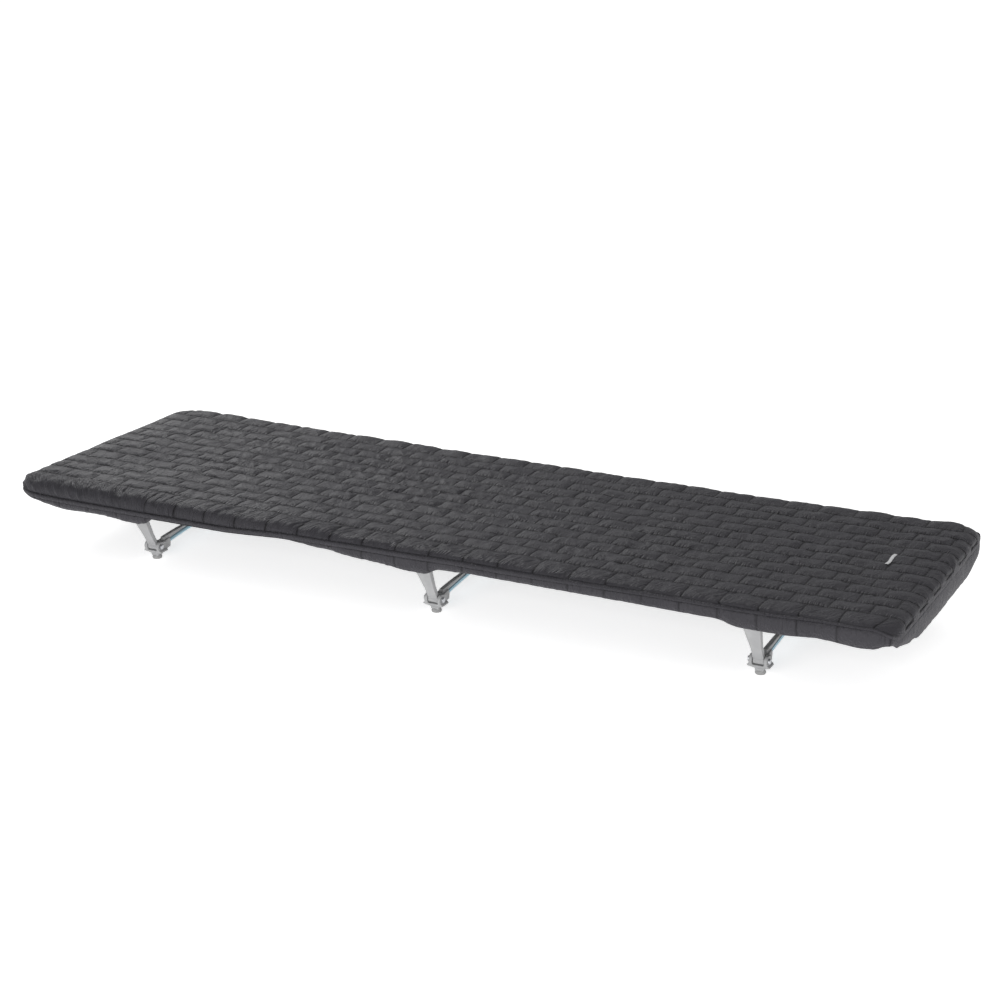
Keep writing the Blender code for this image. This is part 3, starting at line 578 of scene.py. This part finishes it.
def nylon(name, stitches):
    """Charcoal nylon: a fine plain weave with a faint sheen, crumpled, with painted shade darkening it
    down in its seams.
    """
    finish, place, shader = new_finish(name, 0.5, Sheen_Weight=0.05, Sheen_Roughness=0.5,
                                       Specular_IOR_Level=0.16)
    shader.inputs["Sheen Tint"].default_value = (0.8, 0.8, 0.9, 1)
    cloudy = place.noise(7.0, 4.0, roughness=0.6).between(0.3, 0.7)
    fine = place.noise(420.0, 2.0)
    colour = (cloudy * 0.6 + fine * 0.4).mix((0.0265, 0.0254, 0.0294), (0.0375, 0.0358, 0.0412))
    threads = place.node("ShaderNodeTexWave", {"bands_direction": "X"},
                         {"Scale": 900.0, "Distortion": 0.6})
    across = place.node("ShaderNodeTexWave", {"bands_direction": "Y"},
                        {"Scale": 900.0, "Distortion": 0.6})
    crease = place.noise(95.0, 3.0, "RIDGED_MULTIFRACTAL", 0.55, 0.6)
    drawn = place.stretched(1.0, 0.35, 0.6).noise(160.0, 3.0, "FBM", 0.55, 0.4)
    height = crease * 0.65 + drawn * 0.65 + (threads + across) * 0.02
    if stitches:
        spot = place.node("ShaderNodeUVMap", {"uv_map": "flat"})
        along, over = spot.part("X"), spot.part("Y")
        band = place.node("ShaderNodeClamp", None, {"Value": over / ROW, "Min": -6.0, "Max": 6.0}) + 0.5
        to_row = (0.5 - (band.maths("FRACT") - 0.5).maths("ABSOLUTE")) * ROW
        odd = band.maths("FLOOR").maths("PINGPONG", 1.0)
        shifted = (along - BRICK_START) / BRICK + odd * 0.5 + 64.0
        to_brick = (0.5 - (shifted.maths("FRACT") - 0.5).maths("ABSOLUTE")) * BRICK
        toward_near = over * -1.0
        near_row = toward_near.between(0.250, 0.272)
        lost = near_row * (1 - along.between(-0.70, -0.60)) * 0.006
        nearest = to_row.maths("MINIMUM", to_brick + lost)
        # Painted shade: the colour darkens in a narrow groove and a wider band along every stitch line,
        # where the seams sink into shadow.
        groove_shade = 1 - nearest.between(0.0008, 0.0028)
        shade = 1 - nearest.between(0.0, 0.0085)
        colour = (shade * 0.30 + groove_shade * 0.65).mix(colour, (0.006, 0.0055, 0.0065))
        gathered = toward_near.between(0.245, 0.275) * (1 - along.between(-0.1, 0.9) * 0.6)
        lean = place.node("ShaderNodeClamp", None, {"Value": along * -4.5 - 2.7, "Min": -0.4, "Max": 0.9})
        leaning = along + (over + 0.24) * lean * gathered.between(0.0, 0.2)
        slanted = place.node("ShaderNodeCombineXYZ", None, {"X": leaning, "Y": over * 0.16})
        drawn_in = slanted.noise(170.0, 2.0, "FBM", 0.5, 0.25)
        near_seam = 1 - to_row.between(0.001, 0.018)
        drawn_in = (drawn_in - 0.5).maths("ABSOLUTE") * near_seam.maths("MAXIMUM", gathered)
        # Painted shade in the dimples of the drawn-in last seams on the end wall; the same mask also
        # dents the bump.
        dash_shade = (1 - to_brick.between(0.0014, 0.0030)) * along.between(LAST_SEAM, LAST_SEAM + 0.005)
        colour = dash_shade.mix(colour, (0.003, 0.003, 0.0035))
        height = height - groove_shade * 0.5 - drawn_in * 4.0 - dash_shade * 1.5
    else:
        crease = place.node("ShaderNodeAttribute", {"attribute_name": "crease"}, None, "Fac")
        colour = (cloudy * 0.6 + fine * 0.4).mix((0.033, 0.0315, 0.0365), (0.046, 0.0440, 0.0500))
        # Painted shade: the mesh attribute darkens the colour along seams and stitch lines.
        colour = (crease * 0.85).mix(colour, (0.005, 0.0048, 0.0055))
        upright = place.stretched(1.0, 1.0, 0.22).noise(150.0, 2.0, "FBM", 0.5, 0.25)
        height = height - (upright - 0.5).maths("ABSOLUTE") * 3.0
    feed(shader, "Base Color", colour)
    feed(shader, "Roughness", cloudy * 0.10 + fine * 0.06 + 0.42)
    raise_bump(shader, height, strength=0.9, distance=0.0028)
    return finish


def close_below(mesh, level, inset):
    """Turns the open panel's edge in under the loft and closes it with flat faces."""
    bm = bmesh.new()
    bm.from_mesh(mesh)
    rim = [edge for edge in bm.edges if edge.is_boundary]
    turned = bmesh.ops.extrude_edge_only(bm, edges=rim)["geom"]
    for vert in (item for item in turned if isinstance(item, bmesh.types.BMVert)):
        vert.co.x -= math.copysign(inset, vert.co.x) * (abs(vert.co.x) > BODY[0])
        vert.co.y -= math.copysign(inset, vert.co.y) * (abs(vert.co.y) > BODY[1])
        vert.co.z = level
    rim = [edge for edge in bm.edges if edge.is_boundary]
    bmesh.ops.edgenet_fill(bm, edges=rim)
    bm.to_mesh(mesh)
    bm.free()


lining_low, lining_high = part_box("quilt_lining")
close_below(top_mesh, lining_high.z + 0.0002, 0.006)
quilted_nylon = nylon("charcoal_nylon_quilted", True)
plain_nylon = nylon("charcoal_nylon_plain", False)
quilted_top = add_piece(top_mesh, "quilt", quilted_nylon)
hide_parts("quilt_top_face", "quilt_insulation")


# ---------------------------------------------------------------- seam tape
# A folded nylon tape, twin-needle stitched over the join of the top panel and the skirt. Its upper
# edge tucks in behind the top panel's rim. It stands a little proud between its two stitch lines,
# and puckers with the fullness of the cloth under it.

LOOP_STEP = 0.0026
END_TAPE_WIDTH = 0.0085
TAPE_THICKNESS = 0.0006


def loop_places(start=0.0, end=1.0):
    """Places round the flat panel's edge, from its near left corner, for a share of the way round."""
    corners = np.array([(-1, -1), (1, -1), (1, 1), (-1, 1), (-1, -1)]) * np.array(FLAT)
    lengths = np.r_[0, np.cumsum(np.hypot(*np.diff(corners, axis=0).T))]
    count = max(2, round((end - start) * lengths[-1] / LOOP_STEP))
    along = np.linspace(start * lengths[-1], end * lengths[-1], count, endpoint=end - start < 1)
    x = np.interp(along, lengths, corners[:, 0])
    y = np.interp(along, lengths, corners[:, 1])
    return along, x, y


def tape_width(x, y):
    side = eased(x, (-0.6, 0.1, 0.5, 0.93), (0.0125, 0.0135, 0.0110, 0.0065))
    return side * (1 - at_end(x, y)) + END_TAPE_WIDTH * at_end(x, y)


def gather_share(x, y):
    """How full the cloth is: fullest between the left and middle legs."""
    side = eased(x, (-0.93, -0.80, -0.68, -0.25, 0.0, 0.3, 0.66, 0.93),
                 (0.30, 0.45, 1.0, 1.0, 0.70, 0.55, 0.60, 0.30))
    return side * (1 - at_end(x, y)) + 0.35 * at_end(x, y)


def outward(frames):
    """Level direction out of the wall."""
    length = np.maximum(np.hypot(frames[2], frames[3]), 1e-9)
    return np.stack([frames[2] / length, frames[3] / length, np.zeros_like(length)], -1)


def set_seam_shade(mesh, crease):
    """How deep in a seam each point lies, for the painted shade that darkens the cloth's colour there."""
    layer = mesh.attributes.new("crease", "FLOAT", "POINT")
    layer.data.foreach_set("value", crease.astype(np.float32).reshape(-1))


along, edge_x, edge_y = loop_places()
edge_frames = body_frame(edge_x, edge_y)
wall_out = outward(edge_frames)
seam_run = run_to(crown(edge_frames[0], edge_frames[1]) - seam_height(edge_x, edge_y))
strength = 1 - 0.9 * at_end(edge_x, edge_y)
share_down = np.array([-0.12, 0.09, 0.20, 0.34, 0.5, 0.66, 0.80, 0.91, 1.0])
tape_puff = np.array([-0.0020, -0.0012, 0.0011, 0.0022, 0.0025, 0.0022, 0.0011, -0.0012, 0.0002])
# Painted shade along the tape's two stitch lines and its tucked edges, none on the raised band between.
tape_seam_shade = np.array([0.8, 1.0, 0.4, 0, 0, 0, 0.4, 1.0, 0.8])
tape_rows = []
for share, puff in zip(share_down, tape_puff):
    run = seam_run - TAPE_THICKNESS + share * tape_width(edge_x, edge_y)
    pucker = 0.0006 * wander(along / 0.0085, np.full(len(along), share * 1.3), 31)
    pucker = pucker * gather_share(edge_x, edge_y)
    tape_rows.append(body_point(edge_frames, run) + wall_out * (puff * strength + pucker)[:, None])
tape_mesh = grid_mesh("seam_tape_sewn", np.stack(tape_rows, 1), closed=True)
set_seam_shade(tape_mesh, tape_seam_shade * strength[:, None])
tape_mesh = applied(tape_mesh, ("SOLIDIFY", {"thickness": TAPE_THICKNESS, "offset": -1}))
seam_tape = add_piece(tape_mesh, "quilt", plain_nylon)
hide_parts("seam_tape")


# ---------------------------------------------------------------- skirt
# Four panels of the same nylon, unpadded, joined at the corners. They carry the quilting's upright
# seams on down at each brick, and gather toward the hem where the elastic draws them in.

SKIRT_ROWS = 15
SIDE_TURN = 0.96
SKIRT_THICKNESS = 0.0007
UNDER_TAPE = 0.0022
FOLD_WIDTH = 0.0135
FOLD_HEIGHT = 0.0016
BILLOW = 0.055
SEAM_WIDTH = 0.0019
SEAM_DEPTH = 0.0013


def hem_tuck(x, y):
    """How far the hem is drawn in under the bed."""
    side = eased(x, (-0.93, -0.60, -0.55, 0.60, 0.68, 0.93),
                 (0.0085, 0.0050, 0.0070, 0.0045, 0.0065, 0.0075))
    return side * (1 - at_end(x, y)) + 0.0060 * at_end(x, y)


def wall_point(along, x, y, share):
    """Points on the hanging skirt, from its seam at share 0 to its hem at share 1."""
    frames = body_frame(x, y)
    height = crown(frames[0], frames[1])
    start = run_to(height - seam_height(x, y)) + tape_width(x, y) - UNDER_TAPE
    end = run_to(height - hem_height(x, y))
    depth = end - start
    run = start + depth * share
    fold = folds((along + 0.25 * depth * share) / FOLD_WIDTH, share * 0.9, 41) * FOLD_HEIGHT
    fine = wander(along / 0.0055, share * 2.0, 42) * 0.0005
    fold = (fold + fine) * gather_share(x, y) * (0.25 + 0.75 * share)
    billow = BILLOW * depth * np.sin(math.pi * share)
    billow = billow + 0.0006 * wander(along / 0.05, share, 43)
    tuck = hem_tuck(x, y) * share ** 2.2
    out = fold + billow - tuck - 0.0004
    return body_point(frames, run) + outward(frames) * out[..., None]


def upright_seam(x, y):
    """1 on the skirt's upright seams, 0 between them."""
    share = at_end(x, y)
    place = x * (1 - share) + (y + BRICK / 3) * share
    beat = np.abs(np.mod((place - BRICK_START) / BRICK + 0.5, 1) - 0.5) * BRICK
    return np.exp(-(beat / SEAM_WIDTH) ** 2) * (1 - 0.8 * share)


edge_total = 4 * (FLAT[0] + FLAT[1])
side_share = 2 * FLAT[0] / edge_total
end_share = 2 * FLAT[1] / edge_total
turn_share = EDGE_ROW * (1 - SIDE_TURN) / edge_total
skirt_panels = {
    "skirt_near": (turn_share, side_share - turn_share, 1.95),
    "skirt_right_end": (side_share - turn_share, side_share + end_share + turn_share, 0.62),
    "skirt_far": (side_share + end_share + turn_share, 2 * side_share + end_share - turn_share, 1.95),
    "skirt_left_end": (2 * side_share + end_share - turn_share, 1 + turn_share, 0.62),
}
for name, (start, end, length) in skirt_panels.items():
    panel_along, panel_x, panel_y = loop_places(start, min(end, 1.0))
    if end > 1:
        more = loop_places(0.0, end - 1)
        panel_along = np.r_[panel_along, more[0][1:] + edge_total]
        panel_x, panel_y = np.r_[panel_x, more[1][1:]], np.r_[panel_y, more[2][1:]]
    seam = upright_seam(panel_x, panel_y)
    seam[[0, -1]] = 1
    drawn_in = outward(body_frame(panel_x, panel_y)) * (SEAM_DEPTH * seam)[:, None]
    rows, seam_shades = [], []
    for share in np.linspace(0, 1, SKIRT_ROWS):
        points = wall_point(panel_along, panel_x, panel_y, np.full(len(panel_x), share))
        rows.append(points - drawn_in)
        # Painted shade down each upright seam and in a strip just below the tape.
        seam_shades.append(seam * 0.8 + 0.2 * (share < 0.08))
    mesh = grid_mesh(name + "_panel", np.stack(rows, 1))
    set_seam_shade(mesh, np.stack(seam_shades, 1))
    mesh = applied(mesh, ("SOLIDIFY", {"thickness": SKIRT_THICKNESS, "offset": -1}))
    panel = add_piece(mesh, "quilt", plain_nylon)
    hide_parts(name)
    depth = 0.023 if length > 1 else 0.052


# ---------------------------------------------------------------- hem
# The skirt's lower edge is turned up inside a folded nylon binding, with a knitted elastic band in
# the fold. The relaxed band draws the binding into small even ripples.

FOLD_RADIUS = 0.0021
at_hem = wall_point(along, edge_x, edge_y, np.ones(len(along)))
ripple = 0.0004 * wander(along / 0.0048, np.full(len(along), 0.5), 51)
radius = FOLD_RADIUS + ripple * gather_share(edge_x, edge_y)
hem_rows = []
for angle in np.linspace(0, 2 * math.pi, 10, endpoint=False):
    step = wall_out * ((math.cos(angle) * 0.9 - 0.55) * radius)[:, None]
    step[:, 2] = (math.sin(angle) * 1.35 + 0.6) * radius
    hem_rows.append(at_hem + step)
hem_points = np.stack(hem_rows + hem_rows[:1], 1)
hem_mesh = grid_mesh("hem_binding_folded", hem_points, closed=True)
hem_mesh = applied(hem_mesh, WELD)
hem_binding = add_piece(hem_mesh, "quilt", plain_nylon)
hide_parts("hem_binding")

BAND_FRONT, BAND_BACK = 0.0052, 0.0066
BAND_FOOT, BAND_TOP = 0.0040, 0.0100
band_corners = ((BAND_FRONT, BAND_FOOT), (BAND_FRONT, BAND_TOP), (BAND_BACK, BAND_TOP),
                (BAND_BACK, BAND_FOOT), (BAND_FRONT, BAND_FOOT))
ripple = 0.00035 * np.sin(along * 2 * math.pi / 0.006)
elastic_rows = []
for inset, up in band_corners:
    points = at_hem + wall_out * (ripple - inset)[:, None]
    points[:, 2] += up
    elastic_rows.append(points)
elastic_mesh = grid_mesh("hem_elastic_band", np.stack(elastic_rows, 1), closed=True)
elastic_mesh = applied(elastic_mesh, WELD)
finish, place, shader = new_finish("knitted_elastic", 0.8, Sheen_Weight=0.2)
ribs = place.node("ShaderNodeTexWave", {"bands_direction": "Z"}, {"Scale": 260.0})
feed(shader, "Base Color", ribs.mix((0.020, 0.020, 0.022), (0.055, 0.055, 0.060)))
raise_bump(shader, ribs, 0.6, 0.0006)
elastic_band = add_piece(elastic_mesh, "quilt", finish)
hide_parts("hem_elastic")


# ---------------------------------------------------------------- lining
# Plain nylon under the loft. The bricks are stitched through to it, so it dimples along the same lines.

LINING_MARGIN = 0.004
CORNER_CUT = 0.012
lining_x = np.linspace(lining_low.x + LINING_MARGIN, lining_high.x - LINING_MARGIN, 380)
lining_y = np.linspace(lining_low.y + LINING_MARGIN, lining_high.y - LINING_MARGIN, 125)
under_x, under_y = np.meshgrid(lining_x, lining_y, indexing="ij")
corner_x = np.clip((abs(under_x) - BODY[0]) / (lining_high.x - BODY[0]), 0, 1)
corner_y = np.clip((abs(under_y) - BODY[1]) / (lining_high.y - BODY[1]), 0, 1)
under_x = np.sign(under_x) * (abs(under_x) - CORNER_CUT * corner_x * corner_y ** 2)
under_y = np.sign(under_y) * (abs(under_y) - CORNER_CUT * corner_y * corner_x ** 2)
across_row = abs(np.mod(under_y / ROW + 0.5, 1) - 0.5) * 2
dip = 0.00035 * np.sqrt(np.clip(across_row * 3, 0, 1))
dip = dip + 0.00012 * wander(under_x / 0.02, under_y / 0.02, 61)
under_z = lining_low.z + 0.0006 - dip
lining_mesh = grid_mesh("lining_stitched", np.stack([under_x, under_y, under_z], -1))
lining_mesh = applied(lining_mesh, ("SOLIDIFY", {"thickness": 0.0002, "offset": 1}))
finish, place, shader = new_finish("lining_nylon", 0.6, Sheen_Weight=0.1)
soft = place.noise(30.0, 3.0)
feed(shader, "Base Color", soft.mix((0.040, 0.040, 0.044), (0.060, 0.060, 0.064)))
raise_bump(shader, place.noise(120.0, 3.0, "RIDGED_MULTIFRACTAL"), 0.3, 0.0008)
lining = add_piece(lining_mesh, "quilt", finish)
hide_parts("quilt_lining")


# ---------------------------------------------------------------- label tab
# A narrow woven tab, left blank, folded under at both ends and stitched down over one brick seam
# near the right end.

tab_low, tab_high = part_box("label_tab")
tab_middle = (tab_low + tab_high) / 2
top_faces = [list(face.vertices) for face in top_mesh.polygons]
below = BVHTree.FromPolygons([vertex.co for vertex in top_mesh.vertices], top_faces)
tab_y = np.linspace(tab_low.y, tab_high.y, 60)
tab_x = np.linspace(-1, 1, 9)


def height_under(x, y):
    above = Vector((x, y, 0.3))
    return below.ray_cast(above, Vector((0, 0, -1)))[0].z


TAB_THICKNESS = 0.0009
EASE_COUNT = 13
surface = np.array([[height_under(tab_middle.x + 0.003 * x, y) for x in tab_x] for y in tab_y])
padded = np.pad(surface.max(1), EASE_COUNT // 2, mode="edge")
lined = np.convolve(padded, np.ones(EASE_COUNT) / EASE_COUNT, mode="valid")
thickness = TAB_THICKNESS * (1 - 0.6 * abs(tab_x) ** 6)
from_ends = (tab_y - tab_y[0], tab_y - tab_y[-1])
fold_up = 0.0005 * (np.exp(-(from_ends[0] / 0.003) ** 2) + np.exp(-(from_ends[1] / 0.003) ** 2))
tab_points = np.empty((len(tab_y), len(tab_x), 3))
tab_points[..., 0] = tab_middle.x + 0.0034 * tab_x + 0.0004 * np.sin(tab_y[:, None] * 90)
tab_points[..., 1] = tab_y[:, None]
tab_points[..., 2] = lined[:, None] + 0.0002 + thickness + fold_up[:, None]
tab_mesh = grid_mesh("woven_tab", tab_points[::-1])
tab_mesh = applied(tab_mesh, ("SOLIDIFY", {"thickness": TAB_THICKNESS, "offset": -1}),
                   ("BEVEL", {"width": 0.0002, "segments": 2, "limit_method": "ANGLE"}))
finish, place, shader = new_finish("woven_label", 0.6, Sheen_Weight=0.2)
weft = place.node("ShaderNodeTexWave", {"bands_direction": "Y"}, {"Scale": 520.0, "Distortion": 0.3})
warp = place.node("ShaderNodeTexWave", {"bands_direction": "X"}, {"Scale": 520.0, "Distortion": 0.3})
weave = weft * 0.6 + warp * 0.4
feed(shader, "Base Color", weave.mix((0.50, 0.50, 0.51), (0.72, 0.72, 0.73)))
raise_bump(shader, weave, 0.4, 0.0003)
tab = add_piece(tab_mesh, "quilt", finish)
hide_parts("label_tab")


# ---------------------------------------------------------------- bed cloth and rail sleeves
# A single sheet of tough dark polyester, pulled tight from rail to rail. Its long edges are hemmed
# into sleeves that hold the rails and are cut back where each leg clips on.


def cot_cloth():
    finish, place, shader = new_finish("cot_polyester", 0.7, Sheen_Weight=0.1)
    one = place.node("ShaderNodeTexWave", {"bands_direction": "X"}, {"Scale": 330.0, "Distortion": 0.4})
    two = place.node("ShaderNodeTexWave", {"bands_direction": "Y"}, {"Scale": 330.0, "Distortion": 0.4})
    weave = one.maths("MAXIMUM", two)
    cloudy = place.noise(9.0, 4.0)
    colour = (cloudy * 0.5 + weave * 0.5).mix((0.016, 0.017, 0.019), (0.036, 0.037, 0.041))
    feed(shader, "Base Color", colour)
    raise_bump(shader, weave * 0.5 + place.noise(60.0, 3.0) * 0.8, 0.4, 0.0006)
    return finish


cot_polyester = cot_cloth()
sling_low, sling_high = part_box("bed_sling")
bed_x, bed_y = np.meshgrid(np.linspace(sling_low.x, sling_high.x, 300),
                           np.linspace(sling_low.y, sling_high.y, 90), indexing="ij")
near_rail = smooth(sling_high.y * 0.55, sling_high.y, abs(bed_y))
pull = 0.0005 * wander(bed_x / 0.12, bed_y / 0.02, 71) * near_rail
bed_mesh = grid_mesh("bed_cloth", np.stack([bed_x, bed_y, sling_high.z - 0.0006 + pull], -1))
bed_mesh = applied(bed_mesh, ("SOLIDIFY", {"thickness": 0.0006, "offset": -1}))
bed_cloth = add_piece(bed_mesh, "cot", cot_polyester)
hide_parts("bed_sling")

for side in ("near", "far"):
    node = side + "_rail_sleeve"
    mesh = frame["nodes"][node].data.copy()
    mesh.name = side + "_sleeve_sewn"
    mesh = applied(mesh, WELD, ("SUBSURF", {"subdivision_type": "SIMPLE", "levels": 2}))
    points = coordinates(mesh)
    ripple = 0.00012 * wander(points[:, 0] / 0.011, points[:, 2] / 0.01, 72)
    points += coordinates(mesh, "normal") * ripple[:, None]
    mesh.vertices.foreach_set("co", points.astype(np.float32).reshape(-1))
    sleeve = add_piece(mesh, "cot", cot_polyester)
    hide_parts(node)


# ---------------------------------------------------------------- tubes
# Drawn aluminium, anodised pale blue and softly brushed along its length: three rail tubes a side,
# plugged together, and a bowed cross pole in two halves for each leg.


def anodised():
    finish, place, shader = new_finish("anodised_blue", 0.33, 0.75)
    brushed = place.stretched(0.05, 0.05, 1.0).noise(900.0, 2.0)
    scuffs = place.noise(45.0, 5.0, roughness=0.7).between(0.60, 0.80)
    colour = (brushed * 0.5 + 0.2).mix((0.30, 0.47, 0.56), (0.42, 0.60, 0.68))
    feed(shader, "Base Color", (scuffs * 0.35).mix(colour, (0.62, 0.66, 0.69)))
    feed(shader, "Roughness", brushed * 0.12 + scuffs * 0.15 + 0.26)
    return finish


SHARP_FROM = math.radians(38)


def dress(node, finish):
    """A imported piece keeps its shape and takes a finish, shaded smooth across its round faces."""
    piece = frame["nodes"][node]
    piece.data.materials.clear()
    piece.data.materials.append(finish)
    piece.data.polygons.foreach_set("use_smooth", np.ones(len(piece.data.polygons), bool))
    piece.data.set_sharp_from_angle(angle=SHARP_FROM)


legs = ("left", "middle", "right")
sides = ("near", "far")
tube_blue = anodised()
for side in sides:
    for part in legs:
        dress(f"{side}_rail_{part}", tube_blue)
        dress(f"{part}_leg_{side}_pole", tube_blue)
for leg in legs:
    dress(f"{leg}_leg_ferrule", tube_blue)


# ---------------------------------------------------------------- rail caps and foot pads
# Soft grey rubber: caps pressed over the rail ends, and pads under the feet, scuffed where they
# meet the ground.

finish, place, shader = new_finish("grey_rubber", 0.8, Specular_IOR_Level=0.3)
worn = 1 - place.part("Z").between(0.0, 0.0035)
mottle = place.noise(300.0, 4.0)
colour = mottle.mix((0.24, 0.24, 0.24), (0.36, 0.36, 0.36))
feed(shader, "Base Color", (worn * place.noise(90.0, 4.0)).mix(colour, (0.20, 0.19, 0.18)))
raise_bump(shader, mottle, 0.35, 0.0004)
for side in sides:
    for part in ("left", "right"):
        dress(f"{side}_rail_cap_{part}", finish)
    for leg in legs:
        dress(f"{leg}_leg_{side}_foot_pad", finish)


# ---------------------------------------------------------------- hubs and lever arms
# Injection-moulded glass-filled nylon in pale grey. The foot hub has two flared ears that the arm
# turns between, a socket for the cross pole and a rib over it; the arm ends in the rail's cradle.


def moulding():
    finish, place, shader = new_finish("grey_moulding", 0.5, Specular_IOR_Level=0.45)
    grain = place.noise(900.0, 3.0)
    flow = place.stretched(1.0, 1.0, 0.4).noise(28.0, 4.0).between(0.3, 0.7)
    rubbed = place.noise(70.0, 5.0, roughness=0.7).between(0.62, 0.78)
    colour = (flow * 0.7 + grain * 0.3).mix((0.300, 0.302, 0.306), (0.390, 0.392, 0.396))
    feed(shader, "Base Color", (rubbed * 0.35).mix(colour, (0.48, 0.48, 0.485)))
    feed(shader, "Roughness", grain * 0.12 + rubbed * 0.08 + 0.40)
    raise_bump(shader, grain, 0.25, 0.0002)
    return finish


pale_moulding = moulding()
for leg in legs:
    for side in sides:
        for part in ("hub", "arm"):
            packed = frame["nodes"][f"{leg}_leg_{side}_{part}"]
            mesh = packed.data.copy()
            mesh.name = f"{leg}_{side}_{part}_moulded"
            skin = ("REMESH", {"mode": "VOXEL", "voxel_size": 0.00095, "use_smooth_shade": True})
            mesh = applied(mesh, WELD, skin, ("SMOOTH", {"factor": 0.5, "iterations": 5}))
            piece = add_piece(mesh, packed["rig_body"], pale_moulding)
            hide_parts(f"{leg}_leg_{side}_{part}")

finish, place, shader = new_finish("steel_rivet", 0.32, 1.0)
brushed = place.noise(700.0, 3.0)
feed(shader, "Base Color", brushed.mix((0.46, 0.47, 0.49), (0.62, 0.63, 0.65)))
feed(shader, "Roughness", brushed * 0.2 + 0.24)
for leg in legs:
    for side in sides:
        dress(f"{leg}_leg_{side}_pin", finish)
